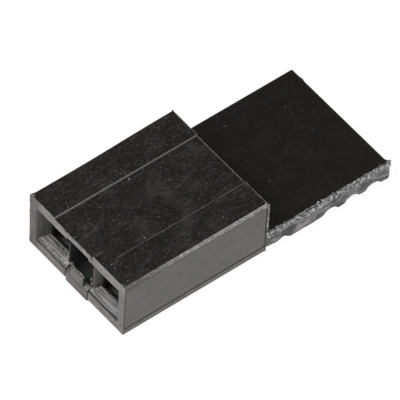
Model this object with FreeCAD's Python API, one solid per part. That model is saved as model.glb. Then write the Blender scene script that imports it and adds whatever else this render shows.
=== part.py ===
import FreeCAD, Part
import math
import os

# Two-way jumper shunt with a flat pull handle, in millimetres.
# It slides over two neighbouring square header posts and joins them.
# The moulded housing holds one folded spring contact, which carries a pair of
# opposed leaves for each post. X runs across the shunt, Y from its open mouth
# to the end of the handle, and Z up from the surface it lies on.

# Header that the shunt fits
pitch = 2.54
post_size = 0.64

# Housing body, one pitch wide for each post
body_width = 2 * pitch
body_length = 6.05
body_height = 2.44
side_wall = 0.33
floor_wall = 0.39
roof_wall = 0.44
rear_wall = 0.6
edge_round = 0.04
bottom_edge_round = 0.05
parting_height = 0.3
parting_step = 0.01
roof_band_width = pitch
roof_band_depth = 0.075

# Mouth: lead-in slopes on the floor and the side walls, and two short webs
lead_in_depth = 0.44
lead_in_side = 0.27
lead_in_rise = 0.24
lead_in_bulge = 0.04
post_room = 0.46
web_thickness = 0.22
web_tip = 0.085
web_setback = 0.2
web_length = 1.3
web_roof_gap = 0.44
roof_notch_depth = 0.09
roof_notch_inset = 0.04

# Retaining tongue, cut free from the floor by two slits
slit = 0.05
tongue_length = 2.3
tongue_droop = 0.12
tongue_beam = 0.24
tongue_lip_depth = 0.17
tongue_lip_rise = 0.1
stop_width = 0.66
stop_thickness = 0.1
stop_height = 0.42

# Handle with grip ribs underneath
handle_length = 5.2
handle_thickness = 0.74
handle_corner_round = 0.05
grip_depth = 0.19
grip_start = 0.76
grip_slope = 0.24
groove_from_end = 0.57
groove_pitch = 0.93
groove_count = 3
groove_radius = 0.36
rib_round = 0.07

# Spring contact, folded from strip
strip = 0.2
contact_clearance = 0.03
leaf_squeeze = 0.22
nose_radius = 0.34
nose_setback = 1.0
leaf_length = 2.1
tip_rise = 0.08
tip_gap = 0.12
bridge_length = 0.9

# Levels above the underside of the body
roof_level = body_height - roof_wall
post_axis_level = (floor_wall + roof_level) / 2
web_top = roof_level - web_roof_gap
handle_bottom = parting_height
handle_top = handle_bottom + handle_thickness

# Half widths from the middle of the shunt outwards
mouth_half_width = body_width / 2 - side_wall
cavity_half_width = mouth_half_width - lead_in_side
web_outer = cavity_half_width - post_size - post_room
channel_half_width = web_outer - web_thickness
tongue_half_width = channel_half_width - slit
leaf_inner = web_outer + contact_clearance
leaf_outer = cavity_half_width - contact_clearance

cavity_length = body_length - rear_wall

# The finished part stands on the tip of its tongue, centred on its own length
placing = FreeCAD.Vector(0, -(body_length + handle_length) / 2, tongue_droop)

# How far a cutting block runs past the face that it opens
past = 1.0


def box(x_low, x_high, y_low, y_high, z_low, z_high):
    """Block between two opposite corners."""
    corner = FreeCAD.Vector(x_low, y_low, z_low)
    return Part.makeBox(x_high - x_low, y_high - y_low, z_high - z_low, corner)


def side_prism(outline, x_low, x_high):
    """Closed outline of (y, z) points, extruded across the shunt."""
    points = [FreeCAD.Vector(x_low, y, z) for y, z in outline]
    face = Part.Face(Part.makePolygon(points + points[:1]))
    return face.extrude(FreeCAD.Vector(x_high - x_low, 0, 0))


def plan_prism(outline, z_low, z_high):
    """Closed outline of (x, y) points, extruded upwards."""
    points = [FreeCAD.Vector(x, y, z_low) for x, y in outline]
    face = Part.Face(Part.makePolygon(points + points[:1]))
    return face.extrude(FreeCAD.Vector(0, 0, z_high - z_low))


def both_sides(shape):
    """The shape and its mirror image across the middle of the shunt."""
    twin = shape.mirror(FreeCAD.Vector(0, 0, 0), FreeCAD.Vector(1, 0, 0))
    return [shape, twin]


def edges_where(shape, test):
    """Straight edges whose every vertex passes the test."""
    return [
        edge for edge in shape.Edges
        if isinstance(edge.Curve, Part.Line) and all(test(v.Point) for v in edge.Vertexes)
    ]


def near(a, b):
    return abs(a - b) < 1e-6


def body_shell():
    """Outer block: a wider upper half moulded on a lower half with round edges."""
    half = body_width / 2
    lower_half = half - parting_step
    lower = box(-lower_half, lower_half, 0, body_length, 0, parting_height)
    bottom_edges = edges_where(lower, lambda p: near(abs(p.x), lower_half) and near(p.z, 0))
    long_edges = [edge for edge in bottom_edges if near(edge.Length, body_length)]
    lower = lower.makeFillet(bottom_edge_round, long_edges)

    upper = box(-half, half, 0, body_length, parting_height, body_height)
    band = box(
        -roof_band_width / 2, roof_band_width / 2, -past, body_length + past,
        body_height - roof_band_depth, body_height + past,
    )
    upper = upper.cut(band)
    outer_edges = edges_where(upper, lambda p: near(abs(p.x), half))
    rounded = [edge for edge in outer_edges if not all(near(v.Z, parting_height) for v in edge.Vertexes)]
    upper = upper.makeFillet(edge_round, rounded)
    return lower.fuse(upper)


def handle_outline():
    """Side outline of the handle, with y counted from the rear face of the body."""
    crest = handle_bottom - grip_depth
    return [
        (-rear_wall / 2, handle_top),
        (-rear_wall / 2, handle_bottom),
        (grip_start, handle_bottom),
        (grip_start + grip_slope, crest),
        (handle_length, crest),
        (handle_length, handle_top),
    ]


def handle():
    """Flat plate with rounded cross grooves that leave grip ribs between them."""
    half = body_width / 2
    plate = side_prism(handle_outline(), -half, half)
    last_groove = handle_length - groove_from_end
    for index in range(groove_count):
        start = FreeCAD.Vector(
            -half - past, last_groove - index * groove_pitch, handle_bottom - groove_radius
        )
        across = FreeCAD.Vector(1, 0, 0)
        plate = plate.cut(Part.makeCylinder(groove_radius, body_width + 2 * past, start, across))

    crest = handle_bottom - grip_depth
    rib_edges = edges_where(plate, lambda p: near(p.z, crest))
    cross_edges = [edge for edge in rib_edges if near(edge.Length, body_width)]
    plate = plate.makeFillet(rib_round, cross_edges)
    corners = edges_where(plate, lambda p: near(abs(p.x), half) and near(p.y, handle_length))
    plate = plate.makeFillet(handle_corner_round, corners)
    top_edges = [edge for edge in plate.Edges if all(near(v.Z, handle_top) for v in edge.Vertexes)]
    free_edges = [edge for edge in top_edges if edge.CenterOfMass.y > 0]
    plate = plate.makeFillet(edge_round, free_edges)
    plate.translate(FreeCAD.Vector(0, body_length, 0))
    return plate


def cavity():
    """Space inside the body, narrowed by the lead-in slopes of its side walls."""
    outline = [
        (-mouth_half_width, 0),
        (-cavity_half_width, lead_in_depth),
        (-cavity_half_width, cavity_length),
        (cavity_half_width, cavity_length),
        (cavity_half_width, lead_in_depth),
        (mouth_half_width, 0),
        (mouth_half_width, -past),
        (-mouth_half_width, -past),
    ]
    room = plan_prism(outline, floor_wall, roof_level)
    notch_half_width = channel_half_width - roof_notch_inset
    notch = box(
        -notch_half_width, notch_half_width, -past, cavity_length,
        post_axis_level, roof_level + roof_notch_depth,
    )
    return room.fuse(notch)


def floor_ramps():
    """Curved lead-in slopes on the floor, one below each post."""
    foot = FreeCAD.Vector(channel_half_width, 0, floor_wall)
    crest = FreeCAD.Vector(channel_half_width, lead_in_depth, floor_wall + lead_in_rise)
    bulge = FreeCAD.Vector(0, -lead_in_rise, lead_in_depth).normalize() * lead_in_bulge
    middle = (foot + crest) / 2 + bulge
    buried = FreeCAD.Vector(channel_half_width, lead_in_depth, floor_wall / 2)
    root = FreeCAD.Vector(channel_half_width, 0, floor_wall / 2)
    outline = Part.Wire([
        Part.Arc(foot, middle, crest).toShape(),
        Part.makeLine(crest, buried),
        Part.makeLine(buried, root),
        Part.makeLine(root, foot),
    ])
    reach = body_width / 2 - side_wall / 2 - channel_half_width
    ramp = Part.Face(outline).extrude(FreeCAD.Vector(reach, 0, 0))
    return both_sides(ramp)


def webs():
    """Short upright webs that part the post holes from the middle channel."""
    outline = [
        (channel_half_width, web_setback),
        (channel_half_width + web_tip, web_setback),
        (web_outer, lead_in_depth),
        (web_outer, web_length),
        (channel_half_width, web_length),
    ]
    return both_sides(plan_prism(outline, floor_wall / 2, web_top))


def tongue():
    """Springy tongue with a lip and a stop plate at its free end."""
    lip_top = floor_wall + tongue_lip_rise
    outline = [
        (0, -tongue_droop),
        (tongue_length, 0),
        (tongue_length, floor_wall),
        (tongue_lip_depth, tongue_beam - tongue_droop),
        (tongue_lip_depth, lip_top),
        (0, floor_wall),
    ]
    beam = side_prism(outline, -tongue_half_width, tongue_half_width)
    stop = box(
        -stop_width / 2, stop_width / 2, 0, stop_thickness,
        floor_wall / 2, floor_wall + stop_height,
    )
    return beam.fuse(stop)


def housing():
    """One moulding: body, handle, mouth details and the retaining tongue."""
    shell = body_shell().fuse(handle()).cut(cavity())
    shell = shell.fuse(floor_ramps() + webs())
    well = box(
        -channel_half_width, channel_half_width, -past, tongue_length,
        -past, floor_wall,
    )
    return shell.cut(well).fuse(tongue()).removeSplitter()


def rounded_run(points):
    """Straight runs through the points, with an arc of the nose radius at each turn."""
    edges = []
    start = points[0]
    for before, corner, after in zip(points, points[1:], points[2:]):
        back = (before - corner).normalize()
        on = (after - corner).normalize()
        half_angle = back.getAngle(on) / 2
        reach = nose_radius / math.tan(half_angle)
        apex = nose_radius / math.sin(half_angle) - nose_radius
        inward = (back + on).normalize()
        entry = corner + back * reach
        leave = corner + on * reach
        edges.append(Part.makeLine(start, entry))
        edges.append(Part.Arc(entry, corner + inward * apex, leave).toShape())
        start = leave
    edges.append(Part.makeLine(start, points[-1]))
    return edges


def strip_path():
    """Middle line of the strip, from the lower tip round the rear bend to the upper tip."""
    lower_level = floor_wall + contact_clearance + strip / 2
    bend_radius = post_axis_level - lower_level
    bend_y = cavity_length - contact_clearance - strip / 2 - bend_radius
    tip_y = lead_in_depth + tip_gap
    nose_y = tip_y + nose_setback
    nose_level = post_axis_level - (post_size - leaf_squeeze + strip) / 2
    leaf_centre = (leaf_inner + leaf_outer) / 2

    corners = [
        (tip_y, lower_level + tip_rise),
        (nose_y, nose_level),
        (nose_y + leaf_length, lower_level),
        (bend_y, lower_level),
    ]
    lower = [FreeCAD.Vector(leaf_centre, y, z) for y, z in corners]
    upper = [FreeCAD.Vector(leaf_centre, y, 2 * post_axis_level - z) for y, z in corners]
    bend_middle = FreeCAD.Vector(leaf_centre, bend_y + bend_radius, post_axis_level)
    bend = Part.Arc(lower[-1], bend_middle, upper[-1]).toShape()
    return Part.Wire(rounded_run(lower) + [bend] + rounded_run(upper[::-1]))


def contact():
    """One folded strip: a pair of opposed leaves for each post, joined by a bridge."""
    path = strip_path()
    start = path.Vertexes[0].Point
    along = (path.Vertexes[1].Point - start).normalize()
    across = FreeCAD.Vector((leaf_outer - leaf_inner) / 2, 0, 0)
    up = across.cross(along).normalize() * (strip / 2)
    corners = [start + across + up, start - across + up, start - across - up, start + across - up]
    section = Part.makePolygon(corners + corners[:1])
    leaves = both_sides(path.makePipeShell([section], True, True))

    roof_side = roof_level - contact_clearance
    bridge_rear = cavity_length - contact_clearance - (roof_side - post_axis_level)
    bridge = box(
        -leaf_outer, leaf_outer, bridge_rear - bridge_length, bridge_rear,
        roof_side - strip, roof_side,
    )
    return leaves[0].fuse([leaves[1], bridge]).removeSplitter()


def export(shape, name):
    """Write one node in the part's own frame."""
    placed = shape.copy()
    placed.translate(placing)
    placed.exportStep(f"parts/{name}.step")


os.makedirs("parts", exist_ok=True)
export(housing(), "housing")
export(contact(), "contact")
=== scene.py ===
import math

import bmesh
import bpy
from mathutils import Matrix, Vector, noise


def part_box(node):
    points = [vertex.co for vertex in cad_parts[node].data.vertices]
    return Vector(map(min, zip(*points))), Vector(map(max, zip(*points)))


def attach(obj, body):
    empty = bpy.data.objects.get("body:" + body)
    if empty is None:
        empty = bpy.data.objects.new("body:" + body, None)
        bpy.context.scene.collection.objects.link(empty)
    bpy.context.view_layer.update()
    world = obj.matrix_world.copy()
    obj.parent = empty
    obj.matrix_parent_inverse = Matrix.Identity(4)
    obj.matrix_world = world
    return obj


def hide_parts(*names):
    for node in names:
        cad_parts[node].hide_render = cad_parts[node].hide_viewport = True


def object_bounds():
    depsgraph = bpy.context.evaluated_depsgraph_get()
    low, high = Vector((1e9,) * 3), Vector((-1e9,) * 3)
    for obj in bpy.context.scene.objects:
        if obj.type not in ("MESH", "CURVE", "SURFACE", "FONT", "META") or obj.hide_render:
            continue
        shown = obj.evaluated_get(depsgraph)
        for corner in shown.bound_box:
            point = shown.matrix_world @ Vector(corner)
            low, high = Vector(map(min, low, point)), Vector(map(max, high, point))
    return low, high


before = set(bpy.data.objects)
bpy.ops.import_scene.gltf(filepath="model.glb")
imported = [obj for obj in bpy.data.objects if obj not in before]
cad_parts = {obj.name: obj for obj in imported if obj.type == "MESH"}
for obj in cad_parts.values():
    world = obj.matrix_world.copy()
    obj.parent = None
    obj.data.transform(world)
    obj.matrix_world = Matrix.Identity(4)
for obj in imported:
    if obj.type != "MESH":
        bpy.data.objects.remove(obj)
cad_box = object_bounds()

# ---------------------------------------------------------------------------
# Housing: body, lead-ins, webs, retaining tongue and pull handle in one piece.
# It is injection-moulded in black glass-filled polyester, in a mould with
# polished top faces and spark-eroded or machined faces everywhere else.
# ---------------------------------------------------------------------------

mm = 0.001
X, Y, Z = 0, 1, 2

housing_low, housing_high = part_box("housing")
half_width = housing_high.x
front = housing_low.y
handle_end = housing_high.y
body_top = housing_high.z
body_length = 6.05 * mm
body_height = 2.44 * mm
floor_wall = 0.39 * mm
handle_thickness = 0.74 * mm
body_floor = body_top - body_height
rear_face = front + body_length
parting_level = body_floor + 0.3 * mm
handle_top = parting_level + handle_thickness
channel_half_width = 0.62 * mm
cavity_half_width = 1.94 * mm
lead_in_depth = 0.44 * mm
ramp_foot = body_floor + floor_wall
ramp_rise = 0.24 * mm

merge_distance = 0.001 * mm
edge_break = 0.012 * mm
sharp_angle = math.radians(40)
smooth_angle = math.radians(35)


def merged_copy(node):
    """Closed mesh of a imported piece, with its flat faces made whole again."""
    shape = bmesh.new()
    shape.from_mesh(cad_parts[node].data)
    bmesh.ops.remove_doubles(shape, verts=shape.verts, dist=merge_distance)
    bmesh.ops.dissolve_limit(
        shape, angle_limit=math.radians(0.5), verts=shape.verts, edges=shape.edges
    )
    return shape


def break_edges(shape, width):
    """Small round on every edge that turns by more than the sharp angle."""
    sharp = [e for e in shape.edges if e.calc_face_angle(0) > sharp_angle]
    bmesh.ops.bevel(
        shape, geom=sharp, offset=width, offset_type="OFFSET", affect="EDGES",
        segments=2, profile=0.5, material=-1, clamp_overlap=True,
    )


def steps(start, stop, spacing):
    """Evenly spaced places between two ends, both of them left out."""
    count = max(1, round((stop - start) / spacing))
    return [start + (stop - start) * i / count for i in range(1, count)]


def inside(point, low, high):
    """Whether a point lies in the box between two corners."""
    return all(low[i] <= point[i] <= high[i] for i in (X, Y, Z))


def touches(face, low, high):
    """Whether a face's own box meets the box between two corners."""
    return all(
        max(v.co[i] for v in face.verts) >= low[i] and min(v.co[i] for v in face.verts) <= high[i]
        for i in (X, Y, Z)
    )


def cut(shape, faces, axis, place):
    """Cut faces by a plane across one axis, and return them with the new ones."""
    normal = Vector([float(i == axis) for i in (X, Y, Z)])
    geometry = list({g for f in faces for g in [f, *f.edges, *f.verts]})
    result = bmesh.ops.bisect_plane(
        shape, geom=geometry, dist=merge_distance / 10, plane_co=normal * place, plane_no=normal
    )
    return [g for g in result["geom"] if isinstance(g, bmesh.types.BMFace)]


def slice_up(shape, low, high, x=(), y=(), z=()):
    """Cut what lies between two corners into small cells, and return their corners."""
    for axis in (X, Y, Z):
        for place in (low[axis], high[axis]):
            cut(shape, [f for f in shape.faces if touches(f, low, high)], axis, place)
    cells = [f for f in shape.faces if inside(f.calc_center_median(), low, high)]
    for axis, places in enumerate((x, y, z)):
        ahead, behind = cells, []
        for place in places:
            pieces = cut(shape, ahead, axis, place)
            ahead = [f for f in pieces if f.calc_center_median()[axis] > place]
            behind += [f for f in pieces if f.calc_center_median()[axis] <= place]
        cells = behind + ahead
    return list({v for f in cells for v in f.verts})


def grain(point, size, stretch=(1, 1, 1), octaves=3):
    """Smooth noise from about -1 to 1, with lumps of the given size in metres."""
    place = Vector(point[i] / (size * stretch[i]) for i in (X, Y, Z))
    return noise.fractal(place, 1.0, 2.0, octaves)


def fade(value, start, stop):
    """Smooth change from 0 at start to 1 at stop."""
    t = min(1, max(0, (value - start) / (stop - start)))
    return t * t * (3 - 2 * t)


moulding = merged_copy("housing")
break_edges(moulding, edge_break)

# The roof's middle band is sunk, with sloping walls
band_edge = 1.27 * mm
band_slope = 0.02 * mm
for vert in moulding.verts:
    at_wall = abs(abs(vert.co.x) - band_edge) < band_slope
    if vert.co.z > body_top - 0.02 * mm and at_wall:
        vert.co.x += math.copysign(band_slope, vert.co.x)

# Towards the front right corner the sunk band runs out to the level of the roof
band_sink = 0.075 * mm
level_length = 2.6 * mm
level_low = Vector((0.74 * mm, front - mm, body_top - band_sink - 0.02 * mm))
level_high = Vector((band_edge + 0.05 * mm, front + level_length, body_top + mm))
for vert in slice_up(
    moulding, level_low, level_high,
    x=steps(level_low.x, level_high.x, 0.1 * mm),
    y=steps(front, level_high.y, 0.13 * mm),
):
    p = vert.co.copy()
    inner_end = 0.85 * mm + 0.3 * max(0, p.y - front)
    near_front = 1 - fade(p.y, front + 0.2 * mm, front + level_length)
    raised = near_front * fade(p.x, 0.72 * mm, inner_end)
    vert.co.z += 0.96 * raised * min(body_top - p.z, band_sink)

# Low ridge beside the sunk band's right edge
ridge_at = band_edge + 0.045 * mm
ridge_half_width = 0.02 * mm
ridge_start = 0.6 * mm
for vert in slice_up(
    moulding,
    Vector((ridge_at - ridge_half_width, front + ridge_start, body_top - 0.01 * mm)),
    Vector((ridge_at + ridge_half_width, rear_face - 0.02 * mm, body_top + mm)),
    x=[ridge_at], y=steps(front + ridge_start, rear_face, 0.1 * mm),
):
    if abs(vert.co.x - ridge_at) < 0.002 * mm:
        vert.co.z += 0.008 * mm * (1 + grain(vert.co, 0.15 * mm))

# Torn side of the handle, where a strip of handles was broken apart. It stands
# a little proud, crumbles along its upper edge and ends in a burr.
torn_reach = 0.3 * mm
torn_cell = 0.035 * mm
proudest = 0.145 * mm
torn_low = Vector((half_width - torn_reach, rear_face - torn_cell, body_floor - mm))
torn_high = Vector((half_width + mm, handle_end + mm, handle_top + merge_distance))
torn_corners = slice_up(
    moulding, torn_low, torn_high,
    x=steps(half_width - torn_reach, half_width, torn_cell),
    y=steps(rear_face - torn_cell, handle_end, torn_cell),
    z=steps(body_floor + 0.1 * mm, handle_top, torn_cell),
)
for vert in torn_corners:
    p = vert.co.copy()
    along = p.y - rear_face
    from_side = half_width - p.x
    from_top = handle_top - p.z
    outer = 1 - fade(from_side, 0, torn_reach)
    level = fade(from_top, 0, 0.5 * mm)
    proud = (0.06 + 0.03 * fade(along, 0, 0.4 * mm)) * (1 - level) + 0.06 * level
    lumps = grain((0, p.y, 0), 0.3 * mm) + 0.6 * grain((5 * mm, p.y, 0), 0.09 * mm)
    width = max(0.015, 0.035 + 0.035 * lumps) * mm
    begun = fade(along, -0.03 * mm, 0.03 * mm)
    crumble = max(0, 1 - (from_side + from_top) / (2.2 * width)) * (1 + 0.5 * grain(p, 0.06 * mm))
    vert.co.x += begun * (proud * mm * outer - 0.8 * width * crumble)
    vert.co.z -= begun * 0.9 * width * crumble
    if from_side < 0.003 * mm:
        upper = 1 - fade(from_top, 0.24 * mm, 0.4 * mm)
        ledge = fade(from_top, 0.16 * mm, 0.2 * mm) * (1 - fade(from_top, 0.2 * mm, 0.3 * mm))
        lumps = (0.007 + 0.02 * upper) * grain(p, 0.075 * mm, (1, 1.8, 1))
        ledges = 0.02 * ledge * (1 + grain((0, p.y, 0), 0.5 * mm))
        streaks = 0.02 * grain(p, 0.05 * mm, (1, 9, 1)) + 0.035 * grain(p, 0.3 * mm, (1, 1.6, 1))
        vert.co.x += begun * (lumps + ledges + streaks) * mm
    burr = fade(p.y, handle_end - 0.3 * mm, handle_end) * (1 - fade(from_side, 0, 0.16 * mm))
    vert.co.y += 0.12 * mm * burr * (1 + 0.3 * grain(p, 0.1 * mm))
    vert.co.x = min(vert.co.x + 0.02 * mm * burr, half_width + proudest)

# Rough band along the right upper edge of the body, left by a worn mould edge
worn_width = 0.085 * mm
worn_height = 0.15 * mm
worn_low = Vector((half_width - 0.13 * mm, front + 0.02 * mm, body_top - 0.2 * mm))
worn_high = Vector((half_width + mm, rear_face - 0.01 * mm, body_top + mm))
worn_corners = slice_up(
    moulding, worn_low, worn_high,
    x=[half_width - d * mm for d in (0.105, 0.085, 0.055, 0.02)],
    y=steps(front, rear_face, 0.045 * mm),
    z=[body_top - d * mm for d in (0.175, 0.15, 0.11, 0.07, 0.03)],
)
for vert in worn_corners:
    p = vert.co.copy()
    inward = (half_width - p.x) / worn_width + (body_top - p.z) / worn_height
    lump = 0.55 + 0.35 * grain(p, 0.14 * mm, (1, 1.8, 1)) + 0.25 * grain(p, 0.06 * mm)
    depth = max(0, 1 - inward) * min(1, max(0.1, lump))
    ends = fade(p.y, front, front + 0.08 * mm) * (1 - fade(p.y, rear_face - 0.08 * mm, rear_face))
    vert.co.x -= 0.55 * worn_width * depth * ends
    vert.co.z -= 0.55 * worn_height * depth * ends
    if abs(body_top - p.z - worn_height) < 0.002 * mm and half_width - p.x < 0.01 * mm:
        vert.co.x -= 0.014 * mm * ends

# Parting line low on the body's sides, a fine groove
parting_reach = 0.045 * mm
parting_bottom = 0.02 * mm
for side in (-1, 1):
    wall = Vector((side * half_width, 0, parting_level))
    reach = Vector((0.02 * mm, 0, 0.055 * mm))
    line_low = wall - reach + Vector((0, front + 0.03 * mm, 0))
    line_high = wall + reach + Vector((0, rear_face - 0.03 * mm, 0))
    groove = slice_up(
        moulding, line_low, line_high,
        y=steps(front, rear_face, 0.12 * mm),
        z=[
            parting_level + d
            for d in (-parting_reach, -parting_bottom, parting_bottom, parting_reach)
        ],
    )
    for vert in groove:
        if abs(vert.co.z - parting_level) < parting_bottom + merge_distance:
            vert.co.x -= side * 0.035 * mm * (1 + 0.4 * grain(vert.co, 0.2 * mm))

# Fine groove behind the right front edge
edge_groove = front + 0.035 * mm
for vert in slice_up(
    moulding,
    Vector((half_width - 0.02 * mm, front + 0.013 * mm, body_floor + 0.03 * mm)),
    Vector((half_width + mm, front + 0.058 * mm, body_top - 0.22 * mm)),
    y=[edge_groove], z=steps(body_floor, body_top, 0.1 * mm),
):
    p = vert.co.copy()
    if abs(p.y - edge_groove) < 0.005 * mm:
        vert.co.x -= 0.02 * mm * (1 + 0.5 * grain(p, 0.2 * mm))

# Fine line across the front of the tongue, under its stop plate
line_level = body_floor + 0.32 * mm
line_half_width = 0.016 * mm
line_low = Vector((0.02 * mm - channel_half_width, front - mm, line_level - 0.05 * mm))
line_high = Vector((channel_half_width - 0.02 * mm, front + 0.02 * mm, line_level + 0.05 * mm))
for vert in slice_up(
    moulding, line_low, line_high,
    z=[line_level + d for d in (-line_half_width, 0, line_half_width)],
):
    if abs(vert.co.z - line_level) < 0.002 * mm:
        vert.co.y += 0.03 * mm

# Dashed groove in front of the right rear edge, beside the flash
dash_low = Vector((half_width - 0.03 * mm, rear_face - 0.065 * mm, parting_level + 0.1 * mm))
dash_high = Vector((half_width + mm, rear_face - 0.014 * mm, body_top - 0.22 * mm))
dashes = slice_up(
    moulding, dash_low, dash_high,
    y=[rear_face - d * mm for d in (0.052, 0.026)],
    z=steps(dash_low.z, dash_high.z, 0.05 * mm),
)
for vert in dashes:
    p = vert.co.copy()
    if half_width - p.x < 0.01 * mm and rear_face - 0.055 * mm < p.y < rear_face - 0.024 * mm:
        dashed = fade(grain((0, 0, p.z), 0.13 * mm), -0.25, 0.05)
        vert.co.x -= 0.045 * mm * dashed * fade(p.z, dash_low.z, dash_low.z + 0.1 * mm)

# Thin lip of flash on the left front edge, widest at the top
lip_low = Vector((-half_width - mm, front - mm, body_floor + 0.02 * mm))
lip_high = Vector((-half_width + 0.16 * mm, front + 0.3 * mm, body_top + mm))
lip_corners = slice_up(
    moulding, lip_low, lip_high,
    x=[-half_width + d * mm for d in (0.04, 0.08, 0.12)],
    y=[front + d * mm for d in (0.05, 0.1, 0.16, 0.22)],
    z=steps(body_floor, body_top, 0.06 * mm),
)
for vert in lip_corners:
    p = vert.co.copy()
    high = (p.z - body_floor) / body_height
    edge = 1 - fade(p.x, -half_width, -half_width + 0.14 * mm)
    edge *= 1 - fade(p.y, front, front + 0.2 * mm)
    wave = 1 + 0.35 * grain((0, 0, p.z), 0.35 * mm) + 0.3 * grain((mm, 0, p.z), 0.1 * mm)
    corner = 1 - 0.6 * fade(p.z, body_top - 0.12 * mm, body_top)
    vert.co.x -= (0.03 + 0.075 * high) * mm * edge * wave * corner
    vert.co.y += 0.012 * mm * grain(p, 0.12 * mm) * edge

# Left upper edge, drawn out and up a little towards the rear
rise_low = Vector((-half_width - mm, front + 0.3 * mm, body_top - 0.14 * mm))
rise_high = Vector((-half_width + 0.14 * mm, rear_face + mm, body_top + mm))
rise_corners = slice_up(
    moulding, rise_low, rise_high,
    x=[-half_width + d * mm for d in (0.04, 0.08)],
    y=steps(front + 0.3 * mm, rear_face, 0.15 * mm),
    z=[body_top - d * mm for d in (0.1, 0.05)],
)
for vert in rise_corners:
    p = vert.co.copy()
    along = fade(p.y, front + 1.5 * mm, rear_face)
    edge = 1 - fade(max(p.x + half_width, body_top - p.z), 0, 0.12 * mm)
    vert.co.x -= 0.05 * mm * along * edge
    vert.co.z += 0.035 * mm * along * edge * (1 + 0.3 * grain(p, 0.15 * mm))

# Broken edge of the roof over the middle of the mouth, with a nick at its end
ragged_left, ragged_right = -0.95 * mm, 0.72 * mm
roof_front = body_top - band_sink
ragged_low = Vector((ragged_left, front - mm, roof_front - 0.2 * mm))
ragged_high = Vector((ragged_right + 0.06 * mm, front + 0.16 * mm, roof_front + merge_distance))
ragged_corners = slice_up(
    moulding, ragged_low, ragged_high,
    x=steps(ragged_left, ragged_right, 0.035 * mm),
    y=[front + d * mm for d in (0.03, 0.06, 0.1)],
    z=[roof_front - d * mm for d in (0.03, 0.07, 0.11, 0.15)],
)
for vert in ragged_corners:
    p = vert.co.copy()
    ends = fade(p.x, ragged_left, ragged_left + 0.3 * mm)
    ends *= 1 - fade(p.x, ragged_right - 0.03 * mm, ragged_right)
    edge = 1 - fade(max(p.y - front, roof_front - p.z), 0, 0.15 * mm)
    lumps = 0.7 * grain(p, 0.13 * mm, (1.3, 1, 1)) + grain(p, 0.05 * mm)
    vert.co.y -= (0.025 + 0.04 * lumps) * mm * ends * edge
    vert.co.z += (0.025 + 0.035 * lumps) * mm * ends * edge
    nick = 1 - fade(abs(p.x - ragged_right - 0.012 * mm), 0.015 * mm, 0.04 * mm)
    vert.co.y += 0.09 * mm * nick * (1 - fade(p.y - front, 0.05 * mm, 0.13 * mm))

# Lead-in ramps, with the cutter's lines, a spark-eroded grain and a fine groove
# along their foot
ramp_inner, ramp_outer = channel_half_width, half_width - 0.165 * mm
foot_groove = 0.037 * mm
for side in (-1, 1):
    ends = sorted((side * ramp_inner, side * ramp_outer))
    ramp_low = Vector((ends[0], front + edge_break, ramp_foot - 0.002 * mm))
    ramp_high = Vector((ends[1], front + lead_in_depth, ramp_foot + ramp_rise + 0.005 * mm))
    ramp_corners = slice_up(
        moulding, ramp_low, ramp_high,
        x=steps(*ends, 0.036 * mm),
        y=steps(front + edge_break, front + lead_in_depth, 0.025 * mm),
    )
    for vert in ramp_corners:
        p = vert.co.copy()
        deep = p.y - front
        away = fade(deep, 0, 0.08 * mm)
        away *= 1 - fade(deep, lead_in_depth - 0.04 * mm, lead_in_depth)
        lines = grain(p, 0.06 * mm, (20, 1, 1))
        spark = grain(p, 0.06 * mm)
        share = 0.3 if side < 0 else 0.1
        vert.co.z += 0.012 * mm * away * (lines * (1 - share) + spark * share)
        foot = 1 - fade(abs(deep - foot_groove), 0.005 * mm, 0.02 * mm)
        vert.co.z -= 0.03 * mm * foot * (1 + 0.5 * grain((p.x, 0, 0), 0.25 * mm))


def linear(colour):
    """Linear RGBA of an sRGB hex colour."""
    levels = [int(colour[i:i + 2], 16) / 255 for i in (1, 3, 5)]
    return [v / 12.92 if v <= 0.04045 else ((v + 0.055) / 1.055) ** 2.4 for v in levels] + [1.0]


def add_node(tree, kind, inputs=None, **settings):
    """Node with its settings. An input is a value, a socket to link it to, or a node
    whose first output in use it is linked to."""
    node = tree.nodes.new(kind)
    for name, value in settings.items():
        setattr(node, name, value)
    for name, value in (inputs or {}).items():
        if isinstance(value, bpy.types.Node):
            value = next(socket for socket in value.outputs if socket.enabled)
        if isinstance(value, bpy.types.NodeSocket):
            tree.links.new(value, node.inputs[name])
        else:
            node.inputs[name].default_value = value
    return node


def new_material(name):
    """Empty node material, with its tree and its object coordinates."""
    material = bpy.data.materials.new(name)
    material.use_nodes = True
    tree = material.node_tree
    tree.nodes.clear()
    return material, tree, add_node(tree, "ShaderNodeTexCoord").outputs["Object"]


def mottle(tree, place, size, stretch=(1, 1, 1), detail=2.0, low=0.35, high=0.65):
    """Pattern from 0 to 1 with lumps of the given size, longer along the stretched axes."""
    spread = add_node(
        tree, "ShaderNodeMapping",
        {"Vector": place, "Scale": [1 / (size * s) for s in stretch]},
    )
    lumps = add_node(
        tree, "ShaderNodeTexNoise", {"Vector": spread, "Scale": 1.0, "Detail": detail},
    )
    return add_node(
        tree, "ShaderNodeMapRange", {"Value": lumps, "From Min": low, "From Max": high},
    )


def coloured_surface(tree, colour, layers, inputs):
    """Surface with the given inputs. Over its colour lie further ones in turn, each
    as strong as its pattern."""
    for share, tone in layers:
        colour = add_node(
            tree, "ShaderNodeMix", {0: share, 6: colour, 7: tone}, data_type="RGBA",
        )
    shader = add_node(tree, "ShaderNodeBsdfPrincipled", {"Base Color": colour, **inputs})
    add_node(tree, "ShaderNodeOutputMaterial", {"Surface": shader})


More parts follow.
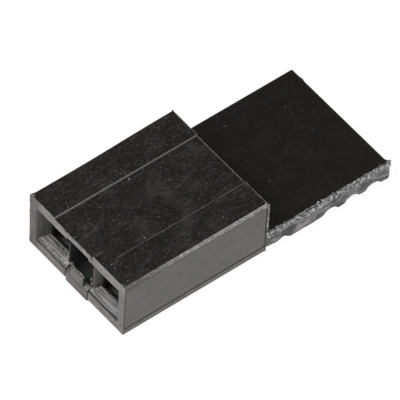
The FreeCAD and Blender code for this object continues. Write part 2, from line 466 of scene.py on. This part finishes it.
def polished_polyester(name, dark, cool, warm, mark, speck):
    """Black polyester from a polished mould face: glossy, cloudy in places, browner
    at the left, with a fine grain, scratches along the shunt and specks of dust.
    Scratches and dust are finer on the real part, and drawn coarser so that they show."""
    material, tree, place = new_material(name)
    brushed = mottle(tree, place, 0.1 * mm, (1, 6, 1), 4.0, 0.2, 0.6)
    clouds = mottle(tree, place, 0.6 * mm, (1, 1.3, 1), 7.0, 0.44, 0.64)
    clouds = add_node(tree, "ShaderNodeMath", {0: clouds, 1: brushed}, operation="MULTIPLY")
    haze = mottle(tree, place, 0.8 * mm, (1, 1.6, 1), 5.0, 0.5, 0.7)
    spot = add_node(tree, "ShaderNodeSeparateXYZ", {"Vector": place}).outputs
    left = add_node(tree, "ShaderNodeMapRange", {
        "Value": spot["X"], "From Min": -0.9 * mm, "From Max": -2.0 * mm, "To Max": 0.8,
    })
    brown = add_node(tree, "ShaderNodeMath", {0: haze, 1: left}, operation="MAXIMUM")
    grit = mottle(tree, place, 0.07 * mm, (1, 1.5, 1), 3.0, 0.48, 1.0)
    drift = add_node(tree, "ShaderNodeTexNoise", {"Vector": place, "Scale": 0.9 / mm})
    wavy = add_node(
        tree, "ShaderNodeVectorMath",
        {0: drift.outputs["Color"], 1: (0.5 * mm, 0, 0), 2: place}, operation="MULTIPLY_ADD",
    ).outputs[0]
    scratches = mottle(tree, wavy, 0.05 * mm, (1, 12, 1), 2.0, 0.52, 0.72)
    rubbed = add_node(
        tree, "ShaderNodeMapRange", {"Value": clouds, "To Min": 0.15, "To Max": 0.9},
    )
    scratches = add_node(
        tree, "ShaderNodeMath", {0: scratches, 1: rubbed}, operation="MULTIPLY",
    )
    marks = add_node(tree, "ShaderNodeMath", {0: grit, 1: scratches}, operation="MAXIMUM")
    flecks = mottle(tree, place, 0.075 * mm, (1, 1.2, 1), 1.0, 0.67, 0.8)
    swarms = mottle(tree, place, 0.6 * mm, (1, 1, 1), 3.0, 0.47, 0.62)
    dust = add_node(tree, "ShaderNodeMath", {0: flecks, 1: swarms}, operation="MULTIPLY")
    rough = add_node(
        tree, "ShaderNodeMapRange", {"Value": clouds, "To Min": 0.268, "To Max": 0.282},
    )
    layers = [
        (clouds, linear(cool)), (brown, linear(warm)), (marks, linear(mark)),
        (dust, linear(speck)),
    ]
    coloured_surface(tree, linear(dark), layers, {"Roughness": rough, "IOR": 1.5})
    return material


def eroded_polyester(name, dark, pale, size, stretch, roughness, depth):
    """Black polyester from an eroded or machined mould face: dull and greyer, with
    a grain or lines of the given size."""
    material, tree, place = new_material(name)
    tone = mottle(tree, place, size, stretch, 3.0, 0.38, 0.68)
    clouds = mottle(tree, place, 1.1 * mm, (1, 1, 1), 2.0, 0.3, 0.7)
    clouds = add_node(tree, "ShaderNodeMath", {0: clouds, 1: 0.4}, operation="MULTIPLY")
    share = add_node(
        tree, "ShaderNodeMath", {0: tone, 1: 0.6, 2: clouds}, operation="MULTIPLY_ADD",
    )
    coloured_surface(tree, linear(dark), [(share, linear(pale))], {
        "Roughness": roughness, "IOR": 1.6,
        "Normal": add_node(tree, "ShaderNodeBump", {"Height": tone, "Distance": depth}),
    })
    return material


def ramp_polyester():
    """Black polyester from a face first cut and then spark-eroded: the cutter's lines run across,
    pale grains on the pitted crest are painted highlights where it catches the light, and the
    foot is painted dark as the shade along its groove. The pits are finer on the real part, and
    drawn coarser so that they show."""
    material, tree, place = new_material("eroded_black_polyester")
    spot = add_node(tree, "ShaderNodeSeparateXYZ", {"Vector": place}).outputs
    # Where the painted highlights on the crest's grains fall: only up the ramp, away from its
    # foot
    high = add_node(tree, "ShaderNodeMapRange", {
        "Value": spot["Z"], "From Min": ramp_foot, "From Max": ramp_foot + 0.1 * mm,
    })
    # Painted shade: the ramp darkens at its foot, along the groove
    foot = add_node(tree, "ShaderNodeMapRange", {
        "Value": spot["Z"],
        "From Min": ramp_foot + 0.025 * mm, "From Max": ramp_foot - 0.005 * mm,
    })
    # Fewer painted highlights towards the left ramp's outer end and on the right ramp
    inner = add_node(tree, "ShaderNodeMapRange", {
        "Value": spot["X"], "From Min": -1.9 * mm, "From Max": -0.9 * mm, "To Min": 0.25,
    })
    left = add_node(tree, "ShaderNodeMapRange", {
        "Value": spot["X"], "From Min": 0.2 * mm, "From Max": -0.2 * mm, "To Min": 0.55,
    })
    lines = mottle(tree, place, 0.065 * mm, (16, 1, 1), 1.0, 0.42, 0.58)
    patches = mottle(tree, place, 0.4 * mm, (1, 1, 1), 2.0, 0.35, 0.62)
    painted_glints = mottle(tree, place, 0.045 * mm, (1, 1.5, 1.5), 1.0, 0.5, 0.58)
    for limit in (high, inner, left, patches):
        painted_glints = add_node(tree, "ShaderNodeMath", {0: painted_glints, 1: limit}, operation="MULTIPLY")
    layers = [
        (lines, linear("#5c5957")), (painted_glints, linear("#898784")), (foot, linear("#0f0c0b")),
    ]
    coloured_surface(tree, linear("#0f0e0d"), layers, {
        "Roughness": 0.5, "IOR": 1.6,
        "Normal": add_node(tree, "ShaderNodeBump", {"Height": lines, "Distance": 0.008 * mm}),
    })
    return material


def rim_polyester():
    """Black polyester from a ground mould face, dull and scraped: palest along the
    top edge, darkest down the left side of the mouth."""
    material, tree, place = new_material("ground_black_polyester")
    spot = add_node(tree, "ShaderNodeSeparateXYZ", {"Vector": place}).outputs
    top = add_node(tree, "ShaderNodeMapRange", {
        "Value": spot["Z"], "From Min": body_top - 0.6 * mm, "From Max": body_top - 0.35 * mm,
    })
    left = add_node(tree, "ShaderNodeMapRange", {
        "Value": spot["X"], "From Min": -cavity_half_width + 0.1 * mm,
        "From Max": -cavity_half_width - 0.3 * mm, "To Max": 0.9,
    })
    scraped = mottle(tree, place, 0.1 * mm, (2.5, 1, 1), 4.0, 0.35, 0.68)
    streaks = mottle(tree, place, 0.08 * mm, (1, 1, 8), 3.0, 0.35, 0.65)
    pale_top = add_node(
        tree, "ShaderNodeMix",
        {0: scraped, 6: linear("#4f4b49"), 7: linear("#6c6866")}, data_type="RGBA",
    )
    dark_side = add_node(
        tree, "ShaderNodeMix",
        {0: streaks, 6: linear("#1f1a18"), 7: linear("#47413d")}, data_type="RGBA",
    )
    layers = [(scraped, linear("#5c5754")), (top, pale_top), (left, dark_side)]
    coloured_surface(tree, linear("#3d3835"), layers, {
        "Roughness": 0.5, "IOR": 1.6,
        "Normal": add_node(tree, "ShaderNodeBump", {"Height": scraped, "Distance": 0.004 * mm}),
    })
    return material


def torn_polyester():
    """Broken black polyester: grey, with pale stress marks along the top of the
    break and long darker streaks under them."""
    material, tree, place = new_material("torn_black_polyester")
    level = add_node(tree, "ShaderNodeSeparateXYZ", {"Vector": place}).outputs["Z"]
    wobble = mottle(tree, place, 0.4 * mm, (1, 1, 1), 3.0, 0.3, 0.7)
    level = add_node(
        tree, "ShaderNodeMath", {0: wobble, 1: 0.14 * mm, 2: level}, operation="MULTIPLY_ADD",
    )
    upper = add_node(
        tree, "ShaderNodeMapRange",
        {"Value": level, "From Min": handle_top - 0.36 * mm, "From Max": handle_top - 0.2 * mm},
        interpolation_type="SMOOTHSTEP",
    )
    streaks = mottle(tree, place, 0.07 * mm, (1, 8, 1), 4.0, 0.4, 0.62)
    patches = mottle(tree, place, 0.35 * mm, (1, 1.8, 1), 4.0, 0.42, 0.52)
    chips = mottle(tree, place, 0.09 * mm, (1, 1.5, 1), 3.0, 0.46, 0.62)
    streaked = add_node(
        tree, "ShaderNodeMix",
        {0: streaks, 6: linear("#2a2827"), 7: linear("#727070")}, data_type="RGBA",
    )
    chipped = add_node(
        tree, "ShaderNodeMix",
        {0: chips, 6: linear("#333232"), 7: linear("#919192")}, data_type="RGBA",
    )
    layers = [(patches, streaked), (upper, chipped)]
    coloured_surface(tree, linear("#252322"), layers, {"Roughness": 0.6, "IOR": 1.6})
    return material


def scuffs_and_highlight_polyester():
    """Black polyester with a rough, whitened skin: pale chips on dark grey, less whitened at the
    front end of the body's edge. On the stop plate's top the same pale finish is a painted
    highlight. The chips are drawn coarser than they are so that they show."""
    material, tree, place = new_material("scuffed_and_highlit_black_polyester")
    spot = add_node(tree, "ShaderNodeSeparateXYZ", {"Vector": place}).outputs
    near_front = add_node(tree, "ShaderNodeMapRange", {
        "Value": spot["Y"],
        "From Min": front + 2.3 * mm, "From Max": front + 0.6 * mm, "To Max": 0.75,
    })
    near_edge = add_node(
        tree, "ShaderNodeMapRange",
        {"Value": spot["X"], "From Min": 1 * mm, "From Max": 1.2 * mm},
    )
    unworn = add_node(
        tree, "ShaderNodeMath", {0: near_front, 1: near_edge}, operation="MINIMUM",
    )
    chips = mottle(tree, place, 0.06 * mm, (1, 3, 1), 3.0, 0.35, 0.65)
    specks = mottle(tree, place, 0.045 * mm, (1, 1.2, 1), 2.0, 0.6, 0.72)
    layers = [
        (chips, linear("#6b6968")), (specks, linear("#b4b3b2")), (unworn, linear("#1f1d1c")),
    ]
    coloured_surface(tree, linear("#403e3d"), layers, {"Roughness": 0.5, "IOR": 1.6})
    return material


finishes = {
    "body_top": polished_polyester(
        "polished_black_polyester", "#0f0e09", "#201e1e", "#130e0b", "#3b3837", "#82807d"),
    # Wiped clean: darker and plainer than the body's top
    "handle_top": polished_polyester(
        "wiped_black_polyester", "#0b0a07", "#12110f", "#0f0a07", "#1a1917", "#3c3c39"),
    # Even satin grey, with hardly any grain
    "side": eroded_polyester(
        "satin_black_polyester", "#26201e", "#3a332f", 0.3 * mm, (1, 1.5, 1), 0.32, 0.001 * mm),
    # Coarser and more mottled under the parting line
    "base": eroded_polyester(
        "dull_black_polyester", "#1d1918", "#544d48", 0.08 * mm, (1, 2, 1), 0.4, 0.004 * mm),
    "rim": rim_polyester(),
    # Mottled, with short marks across the tongue
    "tongue": eroded_polyester(
        "tongue_black_polyester", "#282220", "#5a524f", 0.08 * mm, (1.5, 1, 1), 0.5, 0.006 * mm),
    # Matt slopes and webs, with faint upright marks
    "mouth": eroded_polyester(
        "mouth_black_polyester", "#262220", "#3b3632", 0.12 * mm, (1, 1, 3), 0.5, 0.003 * mm),
    # Painted shade: nearly black and matt, laid on holes, grooves and deep faces where shade
    # falls, so that they read as deep
    "painted_shade": eroded_polyester(
        "shade_painted_black_polyester", "#0c0b0a", "#151311", 0.15 * mm, (1, 2, 1), 0.75, 0.002 * mm),
    # Rubbed pale in places along a raised line
    "ridge": eroded_polyester(
        "rubbed_black_polyester", "#1c1b1a", "#4c4a48", 0.06 * mm, (1, 5, 1), 0.35, 0.001 * mm),
    "ramp": ramp_polyester(),
    "torn": torn_polyester(),
    "scuffs_and_highlight": scuffs_and_highlight_polyester(),
}


def mouth_finish(place, normal, depth, level, off_centre):
    """Finish of a face inside the mouth or deeper in the body."""
    deep = depth > lead_in_depth + 0.03 * mm
    over_ramp = level > ramp_rise + floor_wall
    in_channel = off_centre < channel_half_width
    if deep and normal.z > 0.5 and off_centre > channel_half_width:
        return "mouth"
    to_channel = off_centre < 0.66 * mm and normal.x * place.x < -0.5 * off_centre
    left_web = -0.7 * mm < place.x < 0 and normal.y < -0.7 and depth > 0.06 * mm
    on_tongue = in_channel and depth > 0.2 * mm
    # Deep faces, undersides, the walls beside the channel above the ramps, the left web's front
    # and the tongue take the painted shade
    if deep or normal.z < -0.5 or (to_channel and over_ramp) or left_web or on_tongue:
        return "painted_shade"
    # The stop plate's top takes the pale scuffed finish as a painted highlight along it
    if in_channel and normal.z > 0.7 and depth < 0.2 * mm and level > 0.6 * mm:
        return "scuffs_and_highlight"
    near_ramp = abs(place.z - ramp_foot - ramp_rise / 2) < 0.17 * mm
    on_ramp = channel_half_width < off_centre and near_ramp
    return "ramp" if on_ramp and normal.z > 0.3 else "mouth"


def finish_of(face):
    """Finish of a face of the moulding, from where it lies and which way it faces."""
    place, normal = face.calc_center_median(), face.normal
    depth, level, off_centre = place.y - front, place.z - body_floor, abs(place.x)
    from_right, from_top = half_width - place.x, body_top - place.z
    in_channel = off_centre < channel_half_width
    if depth > body_length + merge_distance:
        if from_right < 0.03 * mm and normal.z < 0.8:
            return "torn"
        return "handle_top" if normal.z > 0.7 else "side"
    if depth < 0.06 * mm and from_right < 0.05 * mm and normal.y > -0.9 and normal.z < 0.7:
        return "mouth"
    # The fine line across the tongue takes the painted shade
    if in_channel and abs(place.z - line_level) < line_half_width and depth < 0.04 * mm:
        return "painted_shade"
    if normal.y < -0.7 and depth < 0.06 * mm:
        return "tongue" if in_channel and level < 1 * mm else "rim"
    # The groove along the ramps' foot takes the painted shade
    at_foot = 0.01 * mm < depth < 0.05 * mm and abs(level - floor_wall) < 0.05 * mm
    if at_foot and channel_half_width < off_centre:
        return "painted_shade"
    if from_right < worn_width and from_top < worn_height:
        return "scuffs_and_highlight"
    # The parting groove takes the painted shade
    in_groove = abs(place.z - parting_level) < parting_reach + merge_distance
    if off_centre > half_width - 0.05 * mm and in_groove:
        return "painted_shade"
    within = off_centre < half_width - 0.15 * mm and depth < body_length - 0.5 * mm
    if from_top > 0.3 * mm and within:
        return mouth_finish(place, normal, depth, level, off_centre)
    if normal.z > 0.5:
        on_ridge = abs(place.x - ridge_at) < ridge_half_width and depth > ridge_start
        return "ridge" if on_ridge else "body_top"
    # The left wall of the sunk band takes the pale rim finish, a painted highlight along that
    # step
    if from_top < 0.1 * mm and abs(place.x + band_edge) < 0.03 * mm:
        return "rim"
    return "base" if place.z < parting_level else "side"


for face in moulding.faces:
    squarely = max(abs(n) for n in face.normal) > 0.9999
    face.smooth = not (squarely and face.calc_area() > 0.02 * mm ** 2)
    face.material_index = list(finishes).index(finish_of(face))
for edge in moulding.edges:
    edge.smooth = edge.calc_face_angle(0) < smooth_angle


def finished_object(name, shape, materials):
    """Object at the origin from a bmesh, its normals weighted towards its large faces."""
    mesh = bpy.data.meshes.new(name)
    shape.to_mesh(mesh)
    shape.free()
    for material in materials:
        mesh.materials.append(material)
    piece = bpy.data.objects.new(name, mesh)
    bpy.context.scene.collection.objects.link(piece)
    weighted = piece.modifiers.new("flat_faces", "WEIGHTED_NORMAL")
    weighted.keep_sharp = True
    return piece


housing = finished_object("housing_moulding", moulding, finishes.values())
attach(housing, "root")
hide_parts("housing")

# ---------------------------------------------------------------------------
# Rear flash: a thin skin of polyester that squeezed out between the halves of
# the mould, along the rear top edge and down the right rear edge of the body.
# ---------------------------------------------------------------------------

flash_thickness = 0.018 * mm
flash_cell = 0.04 * mm


def ribbon(shape, start, stop, across):
    """Flat strip of small cells from one end to the other, as wide as across."""
    count = round((stop - start).length / flash_cell)
    grid = bmesh.ops.create_grid(shape, x_segments=count, y_segments=3, size=0.5)
    for vert in grid["verts"]:
        vert.co = start + (stop - start) * (vert.co.x + 0.5) + across * (vert.co.y + 0.5)
    return grid["verts"]


flash = bmesh.new()
top_run = ribbon(
    flash,
    Vector((-half_width + 0.02 * mm, rear_face, body_top - 0.11 * mm)),
    Vector((half_width - 0.02 * mm, rear_face, body_top - 0.11 * mm)),
    Vector((0, 0.01 * mm, 0.12 * mm)),
)
for vert in top_run:
    p = vert.co.copy()
    free = fade(p.z, body_top - 0.09 * mm, body_top)
    sunk = 0.07 * mm * (1 - fade(abs(p.x), band_edge - 0.02 * mm, band_edge + 0.04 * mm))
    vert.co.z += free * (0.006 * mm + 0.012 * mm * grain(p, 0.1 * mm)) - sunk
    vert.co.y += free * 0.012 * mm * grain(p, 0.16 * mm)
side_run = ribbon(
    flash,
    Vector((half_width - 0.015 * mm, rear_face + 0.008 * mm, parting_level - 0.06 * mm)),
    Vector((half_width - 0.015 * mm, rear_face + 0.008 * mm, body_top - 0.01 * mm)),
    Vector((0.01 * mm, 0.07 * mm, 0)),
)
for vert in side_run:
    p = vert.co.copy()
    free = fade(p.y, rear_face, rear_face + 0.07 * mm)
    vert.co.x += 0.014 * mm * grain(p, 0.12 * mm)
    vert.co.y += 0.02 * mm * free * grain(p, 0.15 * mm)
bmesh.ops.recalc_face_normals(flash, faces=flash.faces)
bmesh.ops.solidify(flash, geom=flash.faces, thickness=flash_thickness)
bmesh.ops.recalc_face_normals(flash, faces=flash.faces)
for face in flash.faces:
    face.smooth = True
    face.material_index = int(face.calc_center_median().x < half_width - 0.1 * mm)
rear_flash = finished_object("rear_flash", flash, [finishes["scuffs_and_highlight"], finishes["ridge"]])
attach(rear_flash, "root")

# ---------------------------------------------------------------------------
# Burrs: small lumps of polyester left at the corners of the mould, beside the
# tongue and at the far end of the torn side. They are part of the moulding.
# ---------------------------------------------------------------------------

burr_lumps = [
    # Place from the middle, the front and the body's floor, and half sizes, in millimetres
    ((-2.49, 0.02, 2.43), (0.06, 0.035, 0.035)),
    ((-2.44, 0.05, 2.435), (0.04, 0.03, 0.025)),
    ((2.33, 0.03, 2.43), (0.05, 0.03, 0.03)),
    ((2.43, 0.07, 2.42), (0.06, 0.04, 0.045)),
    ((-2.57, 6.03, 2.46), (0.03, 0.03, 0.05)),
    ((2.47, 6.03, 2.42), (0.06, 0.045, 0.045)),
    ((2.52, 6.07, 2.36), (0.035, 0.04, 0.05)),
    ((-0.49, 0.2, 0.62), (0.09, 0.05, 0.1)),
    ((-0.54, 0.24, 0.5), (0.06, 0.06, 0.06)),
    ((0.48, 0.26, 0.74), (0.05, 0.05, 0.08)),
    ((0.53, 0.24, 0.54), (0.06, 0.06, 0.12)),
    ((0.5, 0.14, 0.4), (0.07, 0.05, 0.06)),
    ((-0.53, 0.1, 0.42), (0.05, 0.05, 0.05)),
    ((2.63, 11.31, 1.03), (0.036, 0.06, 0.07)),
    ((-2.0, 11.23, 0.985), (0.17, 0.04, 0.045)),
    ((-0.9, 11.225, 0.99), (0.1, 0.035, 0.035)),
]
burrs = bmesh.new()
for number, (place, size) in enumerate(burr_lumps):
    lump = bmesh.ops.create_icosphere(burrs, subdivisions=3, radius=1.0)["verts"]
    middle = Vector(place) * mm + Vector((0, front, body_floor))
    for vert in lump:
        direction = vert.co.copy()
        swell = 1 + 0.4 * grain(direction * mm + Vector((number * mm, 0, 0)), 0.6 * mm)
        vert.co = middle + Vector(direction[i] * size[i] * mm * swell for i in (X, Y, Z))
for face in burrs.faces:
    face.smooth = True
    middle = face.calc_center_median()
    on_end = middle.y > rear_face + mm and middle.x < 0
    beside_tongue = middle.y < rear_face and abs(middle.x) < mm
    face.material_index = 1 if on_end else 2 if beside_tongue else 0
mould_burrs = finished_object(
    "mould_burrs", burrs, [finishes["scuffs_and_highlight"], finishes["handle_top"], finishes["tongue"]])
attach(mould_burrs, "root")

# ---------------------------------------------------------------------------
# Contact: one folded strip of phosphor bronze with a dull tin plating.
# It is pushed into the housing from the front and holds by its spring.
# ---------------------------------------------------------------------------


def shade_darkened_bronze():
    """Phosphor bronze under dull tin, its colour painted nearly black as the shade deep in the
    mouth: a metal that stays dim there, with faint lines from rolling, and blurs what it
    reflects."""
    material, tree, place = new_material("shade_darkened_tinned_bronze")
    rolled = mottle(tree, place, 0.03 * mm, (1, 12, 12), 2.0, 0.35, 0.65)
    coloured_surface(
        tree, linear("#1a1816"), [(rolled, linear("#211f1d"))],
        {"Metallic": 1.0, "Roughness": 0.3},
    )
    return material


strip = merged_copy("contact")
break_edges(strip, 0.02 * mm)
for face in strip.faces:
    face.smooth = True
for edge in strip.edges:
    edge.smooth = edge.calc_face_angle(0) < smooth_angle
contact = finished_object("contact_strip", strip, [shade_darkened_bronze()])
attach(contact, "root")
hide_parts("contact")

# ---------------------------------------------------------------------------
# Studio: a pale floor that sweeps up far behind, soft lamps and a long lens.
# None of it belongs to the shunt.
# ---------------------------------------------------------------------------


def stage_paper():
    """Matt paper, near white. What looks at it, straight or in a reflection, sees it
    almost as bright as it can be, and the shunt's soft shadow still shows on it."""
    material, tree, _ = new_material("stage_paper")
    rays = add_node(tree, "ShaderNodeLightPath").outputs
    seen = rays["Is Camera Ray"]
    for kind in ("Is Glossy Ray", "Is Transmission Ray"):
        seen = add_node(tree, "ShaderNodeMath", {0: seen, 1: rays[kind]}, operation="MAXIMUM")
    share = add_node(tree, "ShaderNodeMath", {0: seen, 1: 0.9}, operation="MULTIPLY")
    paper = add_node(tree, "ShaderNodeBsdfDiffuse", {"Color": linear("#f8f8f8")})
    glow = add_node(tree, "ShaderNodeEmission", {"Color": linear("#ffffff"), "Strength": 1.0})
    mix = add_node(tree, "ShaderNodeMixShader", {0: share, 1: paper, 2: glow})
    add_node(tree, "ShaderNodeOutputMaterial", {"Surface": mix})
    return material


paper = bmesh.new()
# Radius and height of the sweep in millimetres, from its middle to its rim
profile = ((0, 0), (300, 0), (335, 8), (365, 32), (380, 80))
points = [paper.verts.new((radius * mm, 0, height * mm)) for radius, height in profile]
edges = [paper.edges.new(pair) for pair in zip(points, points[1:])]
bmesh.ops.spin(
    paper, geom=points + edges, cent=(0, 0, 0), axis=(0, 0, 1), angle=math.tau, steps=64,
    use_merge=True,
)
bmesh.ops.remove_doubles(paper, verts=paper.verts, dist=mm / 10)
bmesh.ops.recalc_face_normals(paper, faces=paper.faces)
for face in paper.faces:
    face.smooth = True
paper_mesh = bpy.data.meshes.new("stage_sweep")
paper.to_mesh(paper_mesh)
paper.free()
paper_mesh.materials.append(stage_paper())
sweep = bpy.data.objects.new("stage_sweep", paper_mesh)
bpy.context.scene.collection.objects.link(sweep)

world = bpy.data.worlds.new("studio_world")
bpy.context.scene.world = world
world.use_nodes = True
sky = world.node_tree.nodes["Background"].inputs
sky["Color"].default_value = linear("#ffffff")
sky["Strength"].default_value = 0.15

centre = (cad_box[0] + cad_box[1]) / 2


def lamp(name, direction, distance, size, power):
    """Square soft box that faces the shunt from the given direction."""
    data = bpy.data.lights.new(name, "AREA")
    data.shape = "SQUARE"
    data.size = size
    data.energy = power
    light = bpy.data.objects.new(name, data)
    away = Vector(direction).normalized()
    light.location = centre + away * distance
    light.rotation_mode = "QUATERNION"
    light.rotation_quaternion = away.to_track_quat("Z", "Y")
    bpy.context.scene.collection.objects.link(light)


lamp("front_soft_box", (-0.36, -0.62, 0.7), 300 * mm, 160 * mm, 0.65)
lamp("right_soft_box", (0.62, 0.27, 0.74), 300 * mm, 160 * mm, 0.55)
lamp("overhead_soft_box", (0.3, -0.5, 0.8), 400 * mm, 260 * mm, 1.15)

# Camera above the front right corner, with a long lens and rolled a little
azimuth = math.radians(48.86)
elevation = math.radians(50.13)
roll = math.radians(3.411)
lens_distance = 267.73 * mm
aim = centre + Vector((0.234, -0.592, 0.04)) * mm

back = Vector((
    math.sin(azimuth) * math.cos(elevation),
    -math.cos(azimuth) * math.cos(elevation),
    math.sin(elevation),
))
level_right = Vector((math.cos(azimuth), math.sin(azimuth), 0))
level_up = back.cross(level_right)
right = level_right * math.cos(roll) + level_up * math.sin(roll)
up = level_up * math.cos(roll) - level_right * math.sin(roll)

lens = bpy.data.cameras.new("studio_camera")
lens.sensor_width = 36
lens.lens = 720
lens.clip_start = 10 * mm
lens.clip_end = 2
camera = bpy.data.objects.new("studio_camera", lens)
camera.matrix_world = Matrix.Translation(aim + back * lens_distance) @ Matrix(
    (right, up, back)
).transposed().to_4x4()
bpy.context.scene.collection.objects.link(camera)
bpy.context.scene.camera = camera
bpy.context.scene.view_settings.view_transform = "Standard"
